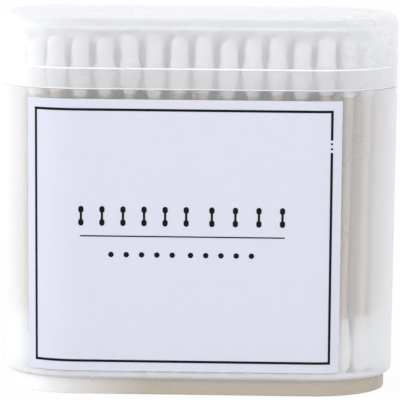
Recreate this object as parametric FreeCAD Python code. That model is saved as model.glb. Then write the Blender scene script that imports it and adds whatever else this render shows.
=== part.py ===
import FreeCAD, Part
import math
import os

# Cotton swab box in millimetres, +Z up. The origin is on the standing surface under the middle of the box,
# X runs along the long front and -Y is the labelled front.

# Swab and headroom, which set the height of the box
SWAB_LENGTH = 75.0
HEADROOM = 2.8

# Outside of the box at the seam, and the heights of its lid and neck
WIDTH = 88.0
DEPTH = 46.3
CORNER_RADIUS = 18.5
LID_HEIGHT = 15.5
NECK_HEIGHT = 4.6

# Box body: drafted walls on a narrower foot ring
WALL = 1.5
DRAFT_SLOPE = 0.0098
STEP_HEIGHT = 3.6
STEP_ROUNDING = 1.0
FOOT_INSET = 1.6
FOOT_WALL = 1.2
FLOOR_TOP = 4.0
FLOOR_THICKNESS = 1.4
FLOOR_ROUNDING = 1.2

# Lid: a straight skirt pressed over the neck of the body, down to the shoulder
LID_WALL = 0.7
LID_TOP = 1.2
LID_ROUNDING = 2.2
LID_INNER_ROUNDING = 1.4
LID_CLEARANCE = 0.1
SEAM_EDGE_ROUNDING = 0.2

# Paper label round the front left corner, by its length along the wall from the middle of the front
LABEL_LEFT = -37.8
LABEL_RIGHT = 31.9
LABEL_OVER_STEP = 1.9
LABEL_UNDER_SEAM = 2.1
PAPER = 0.12
GLUE = 0.02
INK = 0.05

# Printed frame: its line centres lie inside the edges of the label, and its right line has a gap with two dots
FRAME_INSET = 2.3
FRAME_BOTTOM_INSET = 2.2
FRAME_LINE = 0.55
GAP_UNDER_FRAME = 7.6
GAP_LENGTH = 2.7
DOT_DIAMETER = 0.5
DOT_PITCH = 1.08

# Printed signs: two groups of upright swab figures, a thin rule and a row of small round marks
FIGURE_OVER_LABEL_EDGE = 32.1
FIGURE_HEIGHT = 4.35
FIGURE_STICK = 0.5
FIGURE_HEAD = 1.15
FIGURE_HEAD_LENGTH = 1.5
FIGURE_SPANS = ((-25.0, -2.0), (3.6, 19.0))
FIGURE_COUNTS = (6, 4)
RULE_LEFT = -25.2
RULE_RIGHT = 19.5
RULE_OVER_LABEL_EDGE = 29.86
RULE_LINE = 0.28
MARK_OVER_LABEL_EDGE = 25.8
MARK_DIAMETER = 1.2
MARK_SPANS = ((-18.4, -5.0), (-1.0, 12.3))
MARK_COUNTS = (5, 5)

# Double-ended swab: a wooden stick with its ends wound with cotton
STICK_DIAMETER = 2.3
COTTON_DIAMETER = 4.8
COTTON_OVER_END = 1.5
COTTON_HOLD = 0.02
COTTON_MOUTH = 0.25
TOP_COTTON_LENGTH = 12.5
BOTTOM_COTTON_LENGTH = 13.0
TIP_RADIUS = 1.7
TIP_CLEARANCE = 0.05

# Packing of the swabs: rings that follow the wall, from the outside in, round two straight core rows
PACK_GAP = 0.25
RING_PITCH = 5.0
WALL_CLEARANCE = 0.12
FIRST_SWAB = 0.9
LEAN_SWING = 0.9
LEAN_START = -24.0
LENGTH_SPREAD = 0.5

# Values that follow from the sizes
TOTAL_HEIGHT = FLOOR_TOP + SWAB_LENGTH + HEADROOM + LID_TOP
SEAM_HEIGHT = TOTAL_HEIGHT - LID_HEIGHT
LABEL_BOTTOM = STEP_HEIGHT + LABEL_OVER_STEP
LABEL_TOP = SEAM_HEIGHT - LABEL_UNDER_SEAM
FRAME_LEFT = LABEL_LEFT + FRAME_INSET
FRAME_RIGHT = LABEL_RIGHT - FRAME_INSET
FRAME_BOTTOM = LABEL_BOTTOM + FRAME_BOTTOM_INSET
FRAME_TOP = LABEL_TOP - FRAME_INSET
GAP_MIDDLE = FRAME_TOP - GAP_UNDER_FRAME
FIGURE_BOTTOM = LABEL_BOTTOM + FIGURE_OVER_LABEL_EDGE
RULE_HEIGHT = LABEL_BOTTOM + RULE_OVER_LABEL_EDGE
MARK_HEIGHT = LABEL_BOTTOM + MARK_OVER_LABEL_EDGE
HALF_WIDTH = WIDTH / 2
HALF_DEPTH = DEPTH / 2
ARC_X = HALF_WIDTH - CORNER_RADIUS
ARC_Y = HALF_DEPTH - CORNER_RADIUS
NECK_TOP = SEAM_HEIGHT + NECK_HEIGHT
NECK_INSET = LID_WALL + LID_CLEARANCE
FLOOR_BOTTOM = FLOOR_TOP - FLOOR_THICKNESS
UP = FreeCAD.Vector(0, 0, 1)


def draft(z):
    """How far the outer wall has drawn in at a height, measured from the seam."""
    return DRAFT_SLOPE * (SEAM_HEIGHT - z)


def outline(inset, z):
    """Closed rounded rectangle parallel to the outside of the box at the seam."""
    radius = CORNER_RADIUS - inset
    corners = [(ARC_X, -ARC_Y, -90), (ARC_X, ARC_Y, 0), (-ARC_X, ARC_Y, 90), (-ARC_X, -ARC_Y, 180)]
    arcs = []
    for x, y, start in corners:
        circle = Part.Circle(FreeCAD.Vector(x, y, z), UP, radius)
        arcs.append(Part.Arc(circle, math.radians(start), math.radians(start + 90)).toShape())
    edges = []
    for arc, following in zip(arcs, arcs[1:] + arcs[:1]):
        edges.append(arc)
        edges.append(Part.LineSegment(arc.Vertexes[-1].Point, following.Vertexes[0].Point).toShape())
    return Part.Wire(edges)


def straight_block(inset, bottom, top):
    """Block with upright walls between two heights."""
    return Part.Face(outline(inset, bottom)).extrude(FreeCAD.Vector(0, 0, top - bottom))


def drafted_block(inset, bottom, top):
    """Block whose walls follow the draft of the body between two heights."""
    lower = outline(inset + draft(bottom), bottom)
    upper = outline(inset + draft(top), top)
    return Part.makeLoft([lower, upper], True, True)


def rounded_at(solid, z, radius):
    """The solid with the edges that lie flat at one height rounded."""
    edges = [e for e in solid.Edges if abs(e.BoundBox.ZMin - z) < 0.001 and abs(e.BoundBox.ZMax - z) < 0.001]
    return solid.makeFillet(radius, edges)


def make_box_body():
    """Body with its neck, shoulder, floor and hollow foot ring, moulded as one piece."""
    shell = rounded_at(drafted_block(0, STEP_HEIGHT, SEAM_HEIGHT), STEP_HEIGHT, STEP_ROUNDING)
    shell = rounded_at(shell, SEAM_HEIGHT, SEAM_EDGE_ROUNDING)
    foot_inset = draft(STEP_HEIGHT) + FOOT_INSET
    foot = straight_block(foot_inset, 0, FLOOR_TOP)
    neck = straight_block(NECK_INSET, SEAM_HEIGHT - WALL, NECK_TOP)
    inside = rounded_at(drafted_block(WALL, FLOOR_TOP, SEAM_HEIGHT), FLOOR_TOP, FLOOR_ROUNDING)
    inside = inside.fuse(straight_block(WALL, SEAM_HEIGHT, NECK_TOP))
    hollow = straight_block(foot_inset + FOOT_WALL, 0, FLOOR_BOTTOM)
    return shell.fuse([foot, neck]).removeSplitter().cut([inside, hollow])


def make_lid():
    """Lid with a rounded top edge, hollow from below."""
    outside = rounded_at(straight_block(0, SEAM_HEIGHT, TOTAL_HEIGHT), TOTAL_HEIGHT, LID_ROUNDING)
    outside = rounded_at(outside, SEAM_HEIGHT, SEAM_EDGE_ROUNDING)
    ceiling = TOTAL_HEIGHT - LID_TOP
    inside = rounded_at(straight_block(LID_WALL, SEAM_HEIGHT, ceiling), ceiling, LID_INNER_ROUNDING)
    return outside.cut(inside)


def wall_point(along, z, out):
    """Point, and outward direction, at a length along the front wall and a distance off its face."""
    beyond = abs(along) - ARC_X
    turn = math.copysign(max(beyond, 0) / CORNER_RADIUS, along)
    x = math.copysign(min(abs(along), ARC_X), along)
    radius = CORNER_RADIUS - draft(z) + out
    outward = FreeCAD.Vector(math.sin(turn), -math.cos(turn), 0)
    return FreeCAD.Vector(x, -ARC_Y, z) + outward * radius, outward


def wall_edges(left, right, z, out):
    """Edges that run along the front wall from left to right at one height."""
    stops = [left] + [s for s in (-ARC_X, ARC_X) if left < s < right] + [right]
    edges = []
    for a, b in zip(stops, stops[1:]):
        start, middle, end = (wall_point(s, z, out)[0] for s in (a, (a + b) / 2, b))
        if abs(a + b) / 2 < ARC_X:
            edges.append(Part.LineSegment(start, end).toShape())
        else:
            edges.append(Part.Arc(start, middle, end).toShape())
    return edges


def sheet_on_wall(left, right, bottom, top, inner, outer):
    """Thin solid on the front wall, between two lengths along it, two heights and two distances."""
    wires = []
    for z in (bottom, top):
        front = wall_edges(left, right, z, outer)
        back = wall_edges(left, right, z, inner)
        ends = []
        for along in (left, right):
            inner_point = wall_point(along, z, inner)[0]
            outer_point = wall_point(along, z, outer)[0]
            ends.append(Part.LineSegment(inner_point, outer_point).toShape())
        wires.append(Part.Wire(Part.__sortEdges__(front + back + ends)))
    return Part.makeLoft(wires, True, True)


PAPER_FACE = GLUE + PAPER
INK_FACE = PAPER_FACE + INK


def ink_sheet(left, right, bottom, top):
    """Layer of ink on the face of the paper, between two lengths along it and two heights."""
    return sheet_on_wall(left, right, bottom, top, PAPER_FACE, INK_FACE)


def stamp(along, low, high, width):
    """Upright printing stamp with round ends, square to the wall, that reaches through the ink layer."""
    radius = width / 2
    reach = radius + WALL
    foot, outward = wall_point(along, low, -reach)
    across = outward.cross(UP)
    middle = FreeCAD.Vector(0, 0, high - low)
    ends = [Part.makeCylinder(radius, 2 * reach, foot + shift, outward) for shift in (FreeCAD.Vector(), middle)]
    if high - low < FRAME_LINE / 10:
        return ends[0]
    corners = [foot + across * radius, foot - across * radius, foot - across * radius + middle,
               foot + across * radius + middle, foot + across * radius]
    bar = Part.Face(Part.makePolygon(corners)).extrude(outward * (2 * reach))
    return bar.fuse(ends).removeSplitter()


def make_label_frame():
    """Thin rectangular frame, open for a short stretch of its right line where two dots sit."""
    half = FRAME_LINE / 2
    frame = ink_sheet(FRAME_LEFT - half, FRAME_RIGHT + half, FRAME_BOTTOM - half, FRAME_TOP + half)
    window = sheet_on_wall(FRAME_LEFT + half, FRAME_RIGHT - half, FRAME_BOTTOM + half, FRAME_TOP - half,
                           0, INK_FACE + PAPER)
    gap = sheet_on_wall(FRAME_RIGHT - FRAME_LINE, FRAME_RIGHT + FRAME_LINE, GAP_MIDDLE - GAP_LENGTH / 2,
                        GAP_MIDDLE + GAP_LENGTH / 2, 0, INK_FACE + PAPER)
    ink = ink_sheet(FRAME_RIGHT - FRAME_LINE, FRAME_RIGHT + FRAME_LINE, GAP_MIDDLE - GAP_LENGTH / 2,
                    GAP_MIDDLE + GAP_LENGTH / 2)
    dots = []
    for side in (-1, 1):
        z = GAP_MIDDLE + side * DOT_PITCH / 2
        dots += ink.common(stamp(FRAME_RIGHT, z, z, DOT_DIAMETER)).Solids
    return Part.makeCompound(frame.cut([window, gap]).Solids + dots)


def figure_stamp(along):
    """Stamp of an upright swab figure: a bar with a longer round-ended head at each end."""
    half_head = FIGURE_HEAD / 2
    top = FIGURE_BOTTOM + FIGURE_HEIGHT
    bar = stamp(along, FIGURE_BOTTOM + half_head, top - half_head, FIGURE_STICK)
    low_head = stamp(along, FIGURE_BOTTOM + half_head, FIGURE_BOTTOM + FIGURE_HEAD_LENGTH - half_head, FIGURE_HEAD)
    high_head = stamp(along, top - FIGURE_HEAD_LENGTH + half_head, top - half_head, FIGURE_HEAD)
    return bar.fuse([low_head, high_head])


def evenly(spans, counts):
    """Places along the wall of groups of signs, from their first and last places and their numbers."""
    places = []
    for (first, last), count in zip(spans, counts):
        places += [first + (last - first) * i / (count - 1) for i in range(count)]
    return places


def make_label_signs():
    """Two groups of swab figures over a thin rule and a row of round marks."""
    ink = ink_sheet(RULE_LEFT - FIGURE_HEAD, RULE_RIGHT + FIGURE_HEAD, MARK_HEIGHT - MARK_DIAMETER,
                    FIGURE_BOTTOM + FIGURE_HEIGHT + FIGURE_HEAD)
    signs = [ink_sheet(RULE_LEFT, RULE_RIGHT, RULE_HEIGHT - RULE_LINE / 2, RULE_HEIGHT + RULE_LINE / 2)]
    for along in evenly(FIGURE_SPANS, FIGURE_COUNTS):
        signs += ink.common(figure_stamp(along)).Solids
    for along in evenly(MARK_SPANS, MARK_COUNTS):
        signs += ink.common(stamp(along, MARK_HEIGHT, MARK_HEIGHT, MARK_DIAMETER)).Solids
    return Part.makeCompound(signs)


def make_cotton(length, arcs):
    """Cotton end, tip at the origin and mouth up: arcs by radius share and length share, then a taper."""
    full = COTTON_DIAMETER / 2
    bore = STICK_DIAMETER / 2 + COTTON_HOLD
    bore_end = COTTON_OVER_END - COTTON_HOLD
    mouth = STICK_DIAMETER / 2 + COTTON_MOUTH
    last = FreeCAD.Vector(0, 0, 0)
    edges = []
    for arc in arcs:
        middle, end = (FreeCAD.Vector(share * full, 0, place * length) for share, place in arc)
        edges.append(Part.Arc(last, middle, end).toShape())
        last = end
    corners = [last, FreeCAD.Vector(mouth, 0, length), FreeCAD.Vector(bore, 0, length),
               FreeCAD.Vector(bore, 0, bore_end), FreeCAD.Vector(0, 0, bore_end), FreeCAD.Vector(0, 0, 0)]
    edges += [Part.LineSegment(a, b).toShape() for a, b in zip(corners, corners[1:])]
    return Part.Face(Part.Wire(edges)).revolve(FreeCAD.Vector(0, 0, 0), UP, 360)


# Middle and end of each arc from the tip: the top ends are wound in two lobes, the bottom ends in one
TOP_ARCS = (((0.54, 0.05), (0.81, 0.15)), ((0.83, 0.25), (0.77, 0.34)), ((0.86, 0.42), (0.99, 0.51)),
            ((0.96, 0.67), (0.85, 0.80)))
BOTTOM_ARCS = (((0.60, 0.065), (0.875, 0.20)), ((1.0, 0.385), (0.90, 0.66)))
TOP_COTTON = make_cotton(TOP_COTTON_LENGTH, TOP_ARCS)
TOP_COTTON.rotate(FreeCAD.Vector(0, 0, 0), FreeCAD.Vector(1, 0, 0), 180)
BOTTOM_COTTON = make_cotton(BOTTOM_COTTON_LENGTH, BOTTOM_ARCS)


def swab_parts(foot, head, length):
    """Stick, top cotton and bottom cotton of a swab that stands on the floor and leans to its head."""
    centre = FreeCAD.Vector(foot[0], foot[1], FLOOR_TOP + TIP_CLEARANCE + TIP_RADIUS)
    reach = math.sqrt(max((length - TIP_RADIUS) ** 2 - (head[0] - foot[0]) ** 2 - (head[1] - foot[1]) ** 2, 0))
    lean = FreeCAD.Vector(head[0] - foot[0], head[1] - foot[1], reach)
    turn = FreeCAD.Rotation(UP, lean)
    stick = Part.makeCylinder(STICK_DIAMETER / 2, length - 2 * COTTON_OVER_END,
                              FreeCAD.Vector(0, 0, COTTON_OVER_END - TIP_RADIUS))
    top = TOP_COTTON.copy()
    top.translate(FreeCAD.Vector(0, 0, length - TIP_RADIUS))
    bottom = BOTTOM_COTTON.copy()
    bottom.translate(FreeCAD.Vector(0, 0, -TIP_RADIUS))
    place = FreeCAD.Placement(centre, turn).toMatrix()
    return [piece.transformShape(place, True) or piece for piece in (stick, top, bottom)]


def ring_point(along, inset):
    """Plan point at a length along a rounded rectangle, from the middle of the front to the right."""
    radius = CORNER_RADIUS - inset
    quarter = math.pi / 2 * radius
    half_round = 2 * ARC_X + 2 * ARC_Y + 2 * quarter
    along = (along + half_round) % (2 * half_round) - half_round
    side = math.copysign(1, along)
    rest = abs(along)
    if rest < ARC_X:
        return side * rest, -ARC_Y - radius
    rest -= ARC_X
    if rest < quarter:
        turn = rest / radius
        return side * (ARC_X + radius * math.sin(turn)), -ARC_Y - radius * math.cos(turn)
    rest -= quarter
    if rest < 2 * ARC_Y:
        return side * (ARC_X + radius), rest - ARC_Y
    rest -= 2 * ARC_Y
    if rest < quarter:
        turn = rest / radius
        return side * (ARC_X + radius * math.cos(turn)), ARC_Y + radius * math.sin(turn)
    return side * (ARC_X - (rest - quarter)), ARC_Y + radius


def swab_length(number):
    """Length of one swab: a little short of the full length, by an even scatter."""
    return SWAB_LENGTH - LENGTH_SPREAD * (1 - math.cos(2.4 * number))


def ring_swabs(inset_foot, inset_head):
    """Swabs side by side round one ring, leaning gently along it."""
    radius = CORNER_RADIUS - inset_foot
    clear = COTTON_DIAMETER + PACK_GAP
    arc_pitch = 2 * radius * math.asin(min(clear / (2 * radius), 1))
    length_foot = 4 * ARC_X + 4 * ARC_Y + 2 * math.pi * radius
    length_head = length_foot + 2 * math.pi * (inset_foot - inset_head)
    count = int(length_foot / arc_pitch)
    swabs = []
    for i in range(count):
        along = FIRST_SWAB + length_foot * i / count
        lean = LEAN_SWING * math.sin(2 * math.pi * (along - LEAN_START) / length_foot)
        foot = ring_point(along, inset_foot)
        head = ring_point(along * length_head / length_foot + lean, inset_head)
        swabs.append(swab_parts(foot, head, swab_length(i)))
    return swabs


def row_swabs(inset):
    """Swabs in straight rows that fill the core inside the last ring."""
    half_x = HALF_WIDTH - inset
    half_y = HALF_DEPTH - inset
    clear = COTTON_DIAMETER + PACK_GAP
    rows = int(2 * half_y / clear) + 1
    columns = int(2 * half_x / clear) + 1
    swabs = []
    for row in range(rows):
        y = 0 if rows == 1 else half_y * (2 * row / (rows - 1) - 1)
        for column in range(columns):
            x = half_x * (2 * column / (columns - 1) - 1)
            swabs.append(swab_parts((x, y), (x, y), swab_length(row * columns + column)))
    return swabs


def packed_swabs():
    """All swabs by layer: rings along the wall while its corner is round enough, then the core."""
    inset_foot = draft(FLOOR_TOP) + WALL + WALL_CLEARANCE + COTTON_DIAMETER / 2
    inset_head = WALL + WALL_CLEARANCE + COTTON_DIAMETER / 2
    layers = []
    while CORNER_RADIUS - inset_foot > (COTTON_DIAMETER + PACK_GAP) / 2:
        layers.append(ring_swabs(inset_foot, inset_head))
        inset_foot += RING_PITCH
        inset_head += RING_PITCH
    layers.append(row_swabs(inset_foot))
    return layers


os.makedirs("parts", exist_ok=True)
make_box_body().exportStep("parts/box_body.step")
make_lid().exportStep("parts/lid.step")
sheet_on_wall(LABEL_LEFT, LABEL_RIGHT, LABEL_BOTTOM, LABEL_TOP, GLUE, PAPER_FACE).exportStep("parts/label.step")
make_label_frame().exportStep("parts/label_frame.step")
make_label_signs().exportStep("parts/label_signs.step")
for number, swabs in enumerate(packed_swabs(), 1):
    sticks, tops, bottoms = zip(*swabs)
    print("layer", number, "swabs", len(swabs))
    Part.makeCompound(list(sticks)).exportStep(f"parts/swab_sticks_layer_{number}.step")
    Part.makeCompound(list(tops)).exportStep(f"parts/swab_top_cotton_layer_{number}.step")
    Part.makeCompound(list(bottoms)).exportStep(f"parts/swab_bottom_cotton_layer_{number}.step")
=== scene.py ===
import math

import bpy
from mathutils import Matrix, Vector


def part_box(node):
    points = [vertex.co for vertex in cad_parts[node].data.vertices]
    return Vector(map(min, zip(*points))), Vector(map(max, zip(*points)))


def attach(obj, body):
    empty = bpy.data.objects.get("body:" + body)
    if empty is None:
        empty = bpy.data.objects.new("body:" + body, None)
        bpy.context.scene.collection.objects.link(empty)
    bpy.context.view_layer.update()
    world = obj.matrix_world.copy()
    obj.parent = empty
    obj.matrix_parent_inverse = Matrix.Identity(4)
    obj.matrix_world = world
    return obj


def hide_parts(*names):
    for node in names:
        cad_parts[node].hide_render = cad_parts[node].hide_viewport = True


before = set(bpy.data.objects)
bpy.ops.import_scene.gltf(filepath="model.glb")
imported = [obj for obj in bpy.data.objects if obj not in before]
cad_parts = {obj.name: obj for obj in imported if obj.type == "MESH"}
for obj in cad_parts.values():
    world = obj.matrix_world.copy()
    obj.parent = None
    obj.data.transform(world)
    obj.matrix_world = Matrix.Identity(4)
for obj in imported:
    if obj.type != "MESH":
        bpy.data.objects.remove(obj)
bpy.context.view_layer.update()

scene = bpy.context.scene
scene.view_settings.view_transform = "Standard"

# Camera
# It looks at the labelled front from a little to the right and a little above, and the box fills the
# picture. Its place and lens were fitted to the photo.
VIEW_TURN = math.radians(1.873)
VIEW_DROP = math.radians(7.111)
VIEW_ROLL = math.radians(0.45)
VIEW_DISTANCE = 0.7816
VIEW_TARGET = Vector((0.00023, 0.00001, 0.04066))
back = Vector((
    math.sin(VIEW_TURN) * math.cos(VIEW_DROP),
    -math.cos(VIEW_TURN) * math.cos(VIEW_DROP),
    math.sin(VIEW_DROP),
))
level_right = Vector((math.cos(VIEW_TURN), math.sin(VIEW_TURN), 0))
level_up = back.cross(level_right)
right = level_right * math.cos(VIEW_ROLL) + level_up * math.sin(VIEW_ROLL)
up = level_up * math.cos(VIEW_ROLL) - level_right * math.sin(VIEW_ROLL)
facing = Matrix((right, up, back)).transposed().to_4x4()
bpy.ops.object.camera_add()
camera = bpy.context.object
camera.name = "photo_camera"
camera.matrix_world = Matrix.Translation(VIEW_TARGET + back * VIEW_DISTANCE) @ facing
camera.data.lens = 313.3
camera.data.sensor_width = 36.0
camera.data.clip_start = 0.01
camera.data.clip_end = 10.0
scene.camera = camera

# Box body
# The lower shell of frosted natural polypropylene, injection moulded in one piece: drafted walls with
# round ends, a foot ring under the floor, and a shoulder with a thin neck that the lid presses onto.
box_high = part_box("box_body")[1]
lid_low, lid_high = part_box("lid")
HALF_WIDTH = (lid_high.x - lid_low.x) / 2
HALF_DEPTH = (lid_high.y - lid_low.y) / 2
CORNER_RADIUS = 0.0185
CORNER_STEPS = 20
SEAM_Z = lid_low.z
NECK_TOP_Z = box_high.z
STEP_Z = 0.0036
FLOOR_TOP_Z = 0.0040
FLOOR_BOTTOM_Z = 0.0026
WALL = 0.0015
DRAFT_SLOPE = 0.0098
NECK_INSET = 0.0008
FOOT_INSET = 0.0016
FOOT_WALL = 0.0012
STEP_ROUNDING = 0.0010
FLOOR_ROUNDING = 0.0004
SEAM_ROUNDING = 0.0002
FOOT_EDGE_ROUNDING = 0.0003
NECK_EDGE_ROUNDING = 0.00015
MERGE_DISTANCE = 0.000004
SMOOTH_ANGLE = math.radians(32)


def deselect_all():
    """Leaves edit mode and selects nothing, before a new piece is added."""
    if bpy.context.object and bpy.context.object.mode != "OBJECT":
        bpy.ops.object.mode_set(mode="OBJECT")
    bpy.ops.object.select_all(action="DESELECT")


def add_outline(name, z, upward):
    """A flat face with the rounded outline of the box at the seam, facing up or down."""
    deselect_all()
    bpy.ops.mesh.primitive_plane_add(size=1, location=(0, 0, z))
    piece = bpy.context.object
    piece.name = name
    piece.data.name = name
    bpy.ops.transform.resize(value=(2 * HALF_WIDTH, 2 * HALF_DEPTH, 1))
    bpy.ops.object.transform_apply(location=True, rotation=True, scale=True)
    bpy.ops.object.mode_set(mode="EDIT")
    bpy.ops.mesh.select_all(action="SELECT")
    bpy.ops.mesh.bevel(offset=CORNER_RADIUS, offset_type="OFFSET", segments=CORNER_STEPS,
                       affect="VERTICES", clamp_overlap=False)
    bpy.ops.mesh.select_all(action="SELECT")
    if not upward:
        bpy.ops.mesh.flip_normals()
    bpy.context.tool_settings.mesh_select_mode = (False, False, True)
    bpy.ops.mesh.select_all(action="SELECT")
    return piece


def step_in(steps):
    """Goes on from the selected face by rings, each a distance inward and one along its normal."""
    for inward, along in steps:
        bpy.ops.mesh.inset(thickness=inward, depth=along, use_even_offset=True, use_boundary=True)


def rounding(radius, count, direction=1):
    """Steps of a quarter round edge that starts along the normal, or against it, and ends square to it."""
    angles = [math.pi / 2 * i / count for i in range(count + 1)]
    steps = []
    for start, end in zip(angles, angles[1:]):
        inward = radius * (math.cos(start) - math.cos(end))
        along = radius * (math.sin(end) - math.sin(start))
        steps.append((inward, along * direction))
    return steps


def finish_shell(piece, other):
    """Joins the two halves of a shell along their common edge and smooths its round stretches."""
    deselect_all()
    piece.select_set(True)
    other.select_set(True)
    bpy.context.view_layer.objects.active = piece
    bpy.ops.object.join()
    bpy.ops.object.mode_set(mode="EDIT")
    bpy.ops.mesh.select_all(action="SELECT")
    bpy.ops.mesh.remove_doubles(threshold=MERGE_DISTANCE)
    bpy.ops.mesh.normals_make_consistent(inside=False)
    bpy.ops.object.mode_set(mode="OBJECT")
    bpy.ops.object.shade_smooth_by_angle(angle=SMOOTH_ANGLE)
    bpy.ops.object.modifier_add(type="WEIGHTED_NORMAL")
    piece.modifiers[-1].keep_sharp = True
    bpy.ops.object.modifier_apply(modifier=piece.modifiers[-1].name)


wall_height = SEAM_Z - STEP_Z
inner_height = SEAM_Z - FLOOR_TOP_Z
box_body = add_outline("box_body_shell", SEAM_Z - SEAM_ROUNDING, upward=False)
step_in([(DRAFT_SLOPE * (wall_height - STEP_ROUNDING), wall_height - STEP_ROUNDING - SEAM_ROUNDING)])
step_in(rounding(STEP_ROUNDING, 5))
step_in([(FOOT_INSET - STEP_ROUNDING, 0), (0, STEP_Z - FOOT_EDGE_ROUNDING)])
step_in(rounding(FOOT_EDGE_ROUNDING, 2))
step_in([(FOOT_WALL - FOOT_EDGE_ROUNDING, 0), (0, -FLOOR_BOTTOM_Z)])
inner_half = add_outline("box_body_inside", SEAM_Z - SEAM_ROUNDING, upward=True)
step_in(rounding(SEAM_ROUNDING, 2))
step_in([(NECK_INSET - SEAM_ROUNDING, 0), (0, NECK_TOP_Z - SEAM_Z - NECK_EDGE_ROUNDING)])
step_in(rounding(NECK_EDGE_ROUNDING, 2))
step_in([(WALL - NECK_INSET - NECK_EDGE_ROUNDING, 0), (0, -(NECK_TOP_Z - SEAM_Z))])
step_in([(DRAFT_SLOPE * inner_height, -(inner_height - FLOOR_ROUNDING))])
step_in(rounding(FLOOR_ROUNDING, 4, direction=-1))
finish_shell(box_body, inner_half)


def add_node(tree, kind, **settings):
    """One node of a material, with its sockets set by their names."""
    node = tree.nodes.new(kind)
    for name, value in settings.items():
        node.inputs[name.replace("_", " ")].default_value = value
    return node


def add_math(tree, operation, *operands):
    """The output of a math node, whose operands are numbers or outputs of other nodes."""
    node = tree.nodes.new("ShaderNodeMath")
    node.operation = operation
    for socket, operand in zip(node.inputs, operands):
        if isinstance(operand, bpy.types.NodeSocket):
            tree.links.new(operand, socket)
        else:
            socket.default_value = operand
    return node.outputs[0]


def add_ramp(tree, factor, dark, light):
    """The colour output of a ramp between two colours."""
    ramp = tree.nodes.new("ShaderNodeValToRGB")
    ramp.color_ramp.elements[0].color = (*dark, 1)
    ramp.color_ramp.elements[1].color = (*light, 1)
    tree.links.new(factor, ramp.inputs["Fac"])
    return ramp.outputs["Color"]


def make_frost_group():
    """Faint clouding and fine grain of a frosted moulding: a tint, a roughness and a bumped normal."""
    group = bpy.data.node_groups.new("frost_grain", "ShaderNodeTree")
    for name in ("Clear Roughness", "Cloudiness", "Grain Depth"):
        group.interface.new_socket(name=name, in_out="INPUT", socket_type="NodeSocketFloat")
    for name, kind in (("Tint", "Float"), ("Roughness", "Float"), ("Normal", "Vector")):
        group.interface.new_socket(name=name, in_out="OUTPUT", socket_type="NodeSocket" + kind)
    entry = group.nodes.new("NodeGroupInput")
    exit_node = group.nodes.new("NodeGroupOutput")
    place = group.nodes.new("ShaderNodeTexCoord")
    cloud = add_node(group, "ShaderNodeTexNoise", Scale=45.0, Detail=3.0, Roughness=0.5)
    grain = add_node(group, "ShaderNodeTexNoise", Scale=2600.0, Detail=2.0, Roughness=0.6)
    bump = add_node(group, "ShaderNodeBump", Distance=0.00002)
    centred = add_math(group, "SUBTRACT", cloud.outputs["Fac"], 0.5)
    amount = add_math(group, "MULTIPLY", centred, entry.outputs["Cloudiness"])
    tint = add_math(group, "ADD", amount, 1.0)
    rough = add_math(group, "ADD", amount, entry.outputs["Clear Roughness"])
    link = group.links.new
    link(place.outputs["Object"], cloud.inputs["Vector"])
    link(place.outputs["Object"], grain.inputs["Vector"])
    link(grain.outputs["Fac"], bump.inputs["Height"])
    link(entry.outputs["Grain Depth"], bump.inputs["Strength"])
    link(tint, exit_node.inputs["Tint"])
    link(rough, exit_node.inputs["Roughness"])
    link(bump.outputs["Normal"], exit_node.inputs["Normal"])
    return group


def make_band_group():
    """A soft mask that is 1 inside a band of heights and fades to 0 outside it."""
    group = bpy.data.node_groups.new("height_band", "ShaderNodeTree")
    for name in ("Middle", "Half Width", "Fade"):
        group.interface.new_socket(name=name, in_out="INPUT", socket_type="NodeSocketFloat")
    group.interface.new_socket(name="Mask", in_out="OUTPUT", socket_type="NodeSocketFloat")
    entry = group.nodes.new("NodeGroupInput")
    exit_node = group.nodes.new("NodeGroupOutput")
    place = group.nodes.new("ShaderNodeTexCoord")
    split = group.nodes.new("ShaderNodeSeparateXYZ")
    group.links.new(place.outputs["Object"], split.inputs["Vector"])
    offset = add_math(group, "SUBTRACT", split.outputs["Z"], entry.outputs["Middle"])
    distance = add_math(group, "ABSOLUTE", offset)
    beyond = add_math(group, "SUBTRACT", distance, entry.outputs["Half Width"])
    faded = add_math(group, "DIVIDE", beyond, entry.outputs["Fade"])
    mask = add_math(group, "SUBTRACT", 1.0, faded)
    mask.node.use_clamp = True
    group.links.new(mask, exit_node.inputs["Mask"])
    return group


frost_group = make_frost_group()
band_group = make_band_group()


def add_group(tree, group, **settings):
    """One use of a node group in a material, with its own values."""
    node = tree.nodes.new("ShaderNodeGroup")
    node.node_tree = group
    for name, value in settings.items():
        node.inputs[name.replace("_", " ")].default_value = value
    return node


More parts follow.
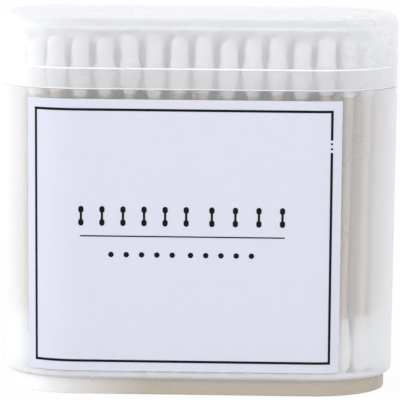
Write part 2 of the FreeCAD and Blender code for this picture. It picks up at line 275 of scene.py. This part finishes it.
def make_frosted_with_painted_light(name, colour, milk, bands, painted_shade_foot_height=None):
    """Rough clear plastic under a milky veil that thickens where the wall turns away; whiter bands of
    heights are painted highlights and painted lightening, and the optional foot zone is painted shade.
    """
    material = bpy.data.materials.new(name)
    material.use_nodes = True
    tree = material.node_tree
    tree.nodes.clear()
    link = tree.links.new
    grain = add_group(tree, frost_group, Clear_Roughness=0.28, Cloudiness=0.08, Grain_Depth=0.05)
    tinted = tree.nodes.new("ShaderNodeVectorMath")
    tinted.operation = "SCALE"
    tinted.inputs[0].default_value = colour
    clear = add_node(tree, "ShaderNodeBsdfPrincipled", IOR=1.15, Transmission_Weight=1.0)
    veil = add_node(tree, "ShaderNodeBsdfPrincipled", Roughness=0.4)
    turning = add_node(tree, "ShaderNodeLayerWeight", Blend=0.6)
    depth = add_node(tree, "ShaderNodeMapRange", To_Min=milk, To_Max=0.75)
    veiled = tree.nodes.new("ShaderNodeMixShader")
    open_shade = add_node(tree, "ShaderNodeBsdfTransparent", Color=(0.93, 0.93, 0.93, 1))
    ray = tree.nodes.new("ShaderNodeLightPath")
    mix = tree.nodes.new("ShaderNodeMixShader")
    out = tree.nodes.new("ShaderNodeOutputMaterial")
    link(grain.outputs["Tint"], tinted.inputs["Scale"])
    link(grain.outputs["Normal"], clear.inputs["Normal"])
    link(grain.outputs["Normal"], veil.inputs["Normal"])
    link(grain.outputs["Roughness"], clear.inputs["Roughness"])
    link(tinted.outputs["Vector"], clear.inputs["Base Color"])
    link(turning.outputs["Facing"], depth.inputs["Value"])
    milk_and_painted_light = depth.outputs["Result"]
    # Each band whitens the veil: a painted highlight or a painted lightening of shade at that height.
    for middle, half_width, fade, painted_light_milk in bands:
        band = add_group(tree, band_group, Middle=middle, Half_Width=half_width, Fade=fade)
        painted_light_in_band = add_math(tree, "MULTIPLY", band.outputs["Mask"], painted_light_milk)
        milk_and_painted_light = add_math(tree, "MAXIMUM", painted_light_in_band, milk_and_painted_light)
    veil_colour_and_shade = tinted.outputs["Vector"]
    # Painted shade at the foot: the veil turns nearly opaque and beige there. This stands in for the dark
    # hollow and the wood's warm light seen through the wall, and the veil stays pale on the left where the
    # window light falls.
    if painted_shade_foot_height:
        low = add_group(tree, band_group, Middle=0.0, Half_Width=painted_shade_foot_height, Fade=0.0003)
        place = tree.nodes.new("ShaderNodeTexCoord")
        split = tree.nodes.new("ShaderNodeSeparateXYZ")
        side = add_node(tree, "ShaderNodeMapRange", From_Min=-0.036, From_Max=-0.010)
        link(place.outputs["Object"], split.inputs["Vector"])
        link(split.outputs["X"], side.inputs["Value"])
        painted_foot_shade = add_ramp(tree, side.outputs["Result"], (0.93, 0.93, 0.93), (0.54, 0.465, 0.375))
        veil_and_foot_shade = tree.nodes.new("ShaderNodeMix")
        veil_and_foot_shade.data_type = "RGBA"
        link(low.outputs["Mask"], veil_and_foot_shade.inputs["Factor"])
        link(veil_colour_and_shade, veil_and_foot_shade.inputs["A"])
        link(painted_foot_shade, veil_and_foot_shade.inputs["B"])
        veil_colour_and_shade = veil_and_foot_shade.outputs["Result"]
        foot_shade_milk = add_math(tree, "MULTIPLY", low.outputs["Mask"], 0.85)
        milk_and_painted_light = add_math(tree, "MAXIMUM", foot_shade_milk, milk_and_painted_light)
    link(veil_colour_and_shade, veil.inputs["Base Color"])
    link(milk_and_painted_light, veiled.inputs["Fac"])
    link(clear.outputs["BSDF"], veiled.inputs[1])
    link(veil.outputs["BSDF"], veiled.inputs[2])
    link(ray.outputs["Is Shadow Ray"], mix.inputs["Fac"])
    link(veiled.outputs["Shader"], mix.inputs[1])
    link(open_shade.outputs["BSDF"], mix.inputs[2])
    link(mix.outputs["Shader"], out.inputs["Surface"])
    return material


# Painted light on the body: a painted highlight along the neck rim, and a painted lightening of the dark
# zone just above the step.
rim_highlight_band = (NECK_TOP_Z, 0.0002, 0.0001, 0.9)
step_painted_light_band = (0.0042, 0.0008, 0.0008, 0.50)
box_body.data.materials.append(make_frosted_with_painted_light("frosted_body_painted_light", (0.95, 0.95, 0.95), 0.16,
                                            (rim_highlight_band, step_painted_light_band), painted_shade_foot_height=0.0033))
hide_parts("box_body")
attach(box_body, "box")

# Lid
# A thin cap of the same frosted plastic, moulded with a rounded top edge. Its straight skirt slides over
# the neck and closes just above the shoulder of the body, so that no two faces lie in one plane.
TOP_Z = lid_high.z
SEAM_GAP = 0.00003
LID_LOW_Z = SEAM_Z + SEAM_GAP
LID_WALL = 0.0007
LID_TOP = 0.0012
LID_ROUNDING = 0.0022
LID_INNER_ROUNDING = 0.0014
lid = add_outline("lid_shell", LID_LOW_Z + SEAM_ROUNDING, upward=True)
step_in([(0, TOP_Z - LID_LOW_Z - SEAM_ROUNDING - LID_ROUNDING)])
step_in(rounding(LID_ROUNDING, 7))
lid_inside = add_outline("lid_inside", LID_LOW_Z + SEAM_ROUNDING, upward=False)
step_in(rounding(SEAM_ROUNDING, 2))
step_in([(LID_WALL - SEAM_ROUNDING, 0), (0, -(TOP_Z - LID_TOP - LID_INNER_ROUNDING - LID_LOW_Z))])
step_in(rounding(LID_INNER_ROUNDING, 5, direction=-1))
finish_shell(lid, lid_inside)
# Painted highlights on the lid: whiter bands of veil along the seam and where the neck's rim shows through.
seam_highlight_band = (SEAM_Z, 0.0002, 0.0001, 0.9)
neck_highlight_band = (NECK_TOP_Z, 0.0001, 0.0001, 0.85)
lid.data.materials.append(make_frosted_with_painted_light("frosted_lid_painted_highlights", (0.96, 0.96, 0.965), 0.24,
                                       (seam_highlight_band, neck_highlight_band)))
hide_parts("lid")
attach(lid, "lid")

# Label
# A sheet of coated white paper, printed in black and glued over the front and round its left corner.
LABEL_LEFT = -0.0378
LABEL_RIGHT = 0.0319
LABEL_BOTTOM = 0.0055
LABEL_TOP = 0.0654
LABEL_COLUMNS = 96
LABEL_ROWS = 24
PAPER = 0.00012
GLUE = 0.00002
ARC_X = HALF_WIDTH - CORNER_RADIUS
ARC_Y = HALF_DEPTH - CORNER_RADIUS


def on_wall(along, z, out):
    """Point at a length along the front wall from its middle, a height and a distance off its face."""
    turn = math.copysign(max(abs(along) - ARC_X, 0) / CORNER_RADIUS, along)
    x = math.copysign(min(abs(along), ARC_X), along)
    radius = CORNER_RADIUS - DRAFT_SLOPE * (SEAM_Z - z) + out
    return Vector((x + math.sin(turn) * radius, -ARC_Y - math.cos(turn) * radius, z))


deselect_all()
bpy.ops.mesh.primitive_grid_add(
    x_subdivisions=LABEL_COLUMNS, y_subdivisions=LABEL_ROWS, size=1,
    location=((LABEL_LEFT + LABEL_RIGHT) / 2, (LABEL_BOTTOM + LABEL_TOP) / 2, 0))
label = bpy.context.object
label.name = "label_paper_sheet"
bpy.ops.transform.resize(value=(LABEL_RIGHT - LABEL_LEFT, LABEL_TOP - LABEL_BOTTOM, 1))
bpy.ops.object.transform_apply(location=True, rotation=True, scale=True)
for vertex in label.data.vertices:
    vertex.co = on_wall(vertex.co.x, vertex.co.y, GLUE + PAPER)
bpy.ops.object.mode_set(mode="EDIT")
bpy.ops.mesh.select_all(action="SELECT")
bpy.ops.mesh.normals_make_consistent(inside=False)
bpy.ops.object.mode_set(mode="OBJECT")
if label.data.polygons[0].normal.y > 0:
    label.data.flip_normals()
bpy.ops.object.modifier_add(type="SOLIDIFY")
label.modifiers[-1].thickness = PAPER
label.modifiers[-1].offset = -1
bpy.ops.object.modifier_apply(modifier=label.modifiers[-1].name)
bpy.ops.object.shade_smooth_by_angle(angle=math.radians(30))


def make_mottled(name, noise, dark, light, stretch=None, relief=None, **settings):
    """A material whose noise on Object coordinates sets its colour and, if given, a fine relief."""
    material = bpy.data.materials.new(name)
    material.use_nodes = True
    tree = material.node_tree
    shader = tree.nodes["Principled BSDF"]
    for socket_name, value in settings.items():
        shader.inputs[socket_name.replace("_", " ")].default_value = value
    place = tree.nodes.new("ShaderNodeTexCoord").outputs["Object"]
    if stretch:
        mapping = add_node(tree, "ShaderNodeMapping", Scale=stretch)
        tree.links.new(place, mapping.inputs["Vector"])
        place = mapping.outputs["Vector"]
    mottle = add_node(tree, "ShaderNodeTexNoise", **noise)
    tree.links.new(place, mottle.inputs["Vector"])
    tree.links.new(add_ramp(tree, mottle.outputs["Fac"], dark, light), shader.inputs["Base Color"])
    if relief:
        bump = add_node(tree, "ShaderNodeBump", Strength=relief[0], Distance=relief[1])
        tree.links.new(mottle.outputs["Fac"], bump.inputs["Height"])
        tree.links.new(bump.outputs["Normal"], shader.inputs["Normal"])
    return material


label.data.materials.append(make_mottled(
    "coated_paper", {"Scale": 380.0, "Detail": 6.0, "Roughness": 0.65},
    (0.64, 0.64, 0.71), (0.68, 0.68, 0.75), relief=(0.15, 0.00002), Roughness=0.55))
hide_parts("label")
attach(label, "box")

# Print
# Black ink on the label: a thin frame, and plain signs in two rows with a rule between them. The CAD
# meshes of both are kept.
ink = make_mottled(
    "black_ink", {"Scale": 900.0, "Detail": 3.0},
    (0.001, 0.001, 0.001), (0.004, 0.004, 0.005), Roughness=0.6, Specular_IOR_Level=0.15)
for node_name in ("label_frame", "label_signs"):
    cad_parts[node_name].data.materials.clear()
    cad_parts[node_name].data.materials.append(ink)

# Swabs
# Each is a birch stick with both ends wound with cotton. They stand packed upright in the box, and
# their CAD meshes are kept.
cotton = make_mottled(
    "wound_cotton", {"Scale": 900.0, "Detail": 5.0, "Roughness": 0.6, "Distortion": 1.2},
    (0.84, 0.84, 0.84), (0.93, 0.93, 0.93), stretch=(1, 1, 2.5), relief=(0.5, 0.0001),
    Roughness=0.95, Sheen_Weight=0.3)
wood = make_mottled(
    "birch_stick", {"Scale": 1400.0, "Detail": 4.0, "Roughness": 0.6},
    (0.50, 0.38, 0.27), (0.70, 0.57, 0.42), stretch=(1, 1, 0.06), Roughness=0.6)
for node_name, node_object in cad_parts.items():
    if node_name.startswith("swab_"):
        node_object.data.materials.clear()
        node_object.data.materials.append(wood if "sticks" in node_name else cotton)


def add_seen(tree):
    """Mask of camera, glossy and transmission rays, which look straight at the surroundings."""
    ray = tree.nodes.new("ShaderNodeLightPath")
    seen = add_math(tree, "MAXIMUM", ray.outputs["Is Camera Ray"], ray.outputs["Is Glossy Ray"])
    return add_math(tree, "MAXIMUM", seen, ray.outputs["Is Transmission Ray"])


# Floor
# A plain white table that runs out of view, and keeps a soft shadow of the box. Most of what the
# camera sees of it is plain white, so it meets the background without an edge.
FLOOR_WHITE_SHARE = 0.94
deselect_all()
bpy.ops.mesh.primitive_plane_add(size=6, location=(0, 0, 0))
floor = bpy.context.object
floor.name = "floor"
table = bpy.data.materials.new("white_table")
table.use_nodes = True
tree = table.node_tree
shader = tree.nodes["Principled BSDF"]
shader.inputs["Base Color"].default_value = (0.85, 0.85, 0.85, 1)
shader.inputs["Roughness"].default_value = 0.9
glow = add_node(tree, "ShaderNodeEmission", Color=(1, 1, 1, 1), Strength=1.0)
mix = tree.nodes.new("ShaderNodeMixShader")
tree.links.new(add_math(tree, "MULTIPLY", add_seen(tree), FLOOR_WHITE_SHARE), mix.inputs["Fac"])
tree.links.new(shader.outputs["BSDF"], mix.inputs[1])
tree.links.new(glow.outputs["Emission"], mix.inputs[2])
tree.links.new(mix.outputs["Shader"], tree.nodes["Material Output"].inputs["Surface"])
floor.data.materials.append(table)

# Light
# A pale room all round, white where the picture looks past the box, a large soft window on the left
# and a weak soft fill from the front.
world = bpy.data.worlds.new("pale_room")
scene.world = world
world.use_nodes = True
tree = world.node_tree
tree.nodes.clear()
room = add_node(tree, "ShaderNodeBackground", Color=(0.80, 0.82, 0.87, 1), Strength=1.2)
white = add_node(tree, "ShaderNodeBackground", Color=(1, 1, 1, 1))
mix = tree.nodes.new("ShaderNodeMixShader")
out = tree.nodes.new("ShaderNodeOutputWorld")
tree.links.new(add_seen(tree), mix.inputs["Fac"])
tree.links.new(room.outputs["Background"], mix.inputs[1])
tree.links.new(white.outputs["Background"], mix.inputs[2])
tree.links.new(mix.outputs["Shader"], out.inputs["Surface"])


def add_window(name, place, size, strength):
    """A soft rectangular light at a place, turned to the middle of the box."""
    deselect_all()
    bpy.ops.object.light_add(type="AREA", location=place)
    lamp = bpy.context.object
    lamp.name = name
    lamp.data.shape = "RECTANGLE"
    lamp.data.size = size[0]
    lamp.data.size_y = size[1]
    lamp.data.energy = strength
    lamp.rotation_euler = (Vector((0, 0, 0.04)) - Vector(place)).to_track_quat("-Z", "Y").to_euler()


add_window("left_window", (-0.9, -0.12, 0.25), (0.7, 0.7), 3.0)
add_window("front_fill", (0.20, -1.1, 0.14), (0.8, 0.6), 2.4)
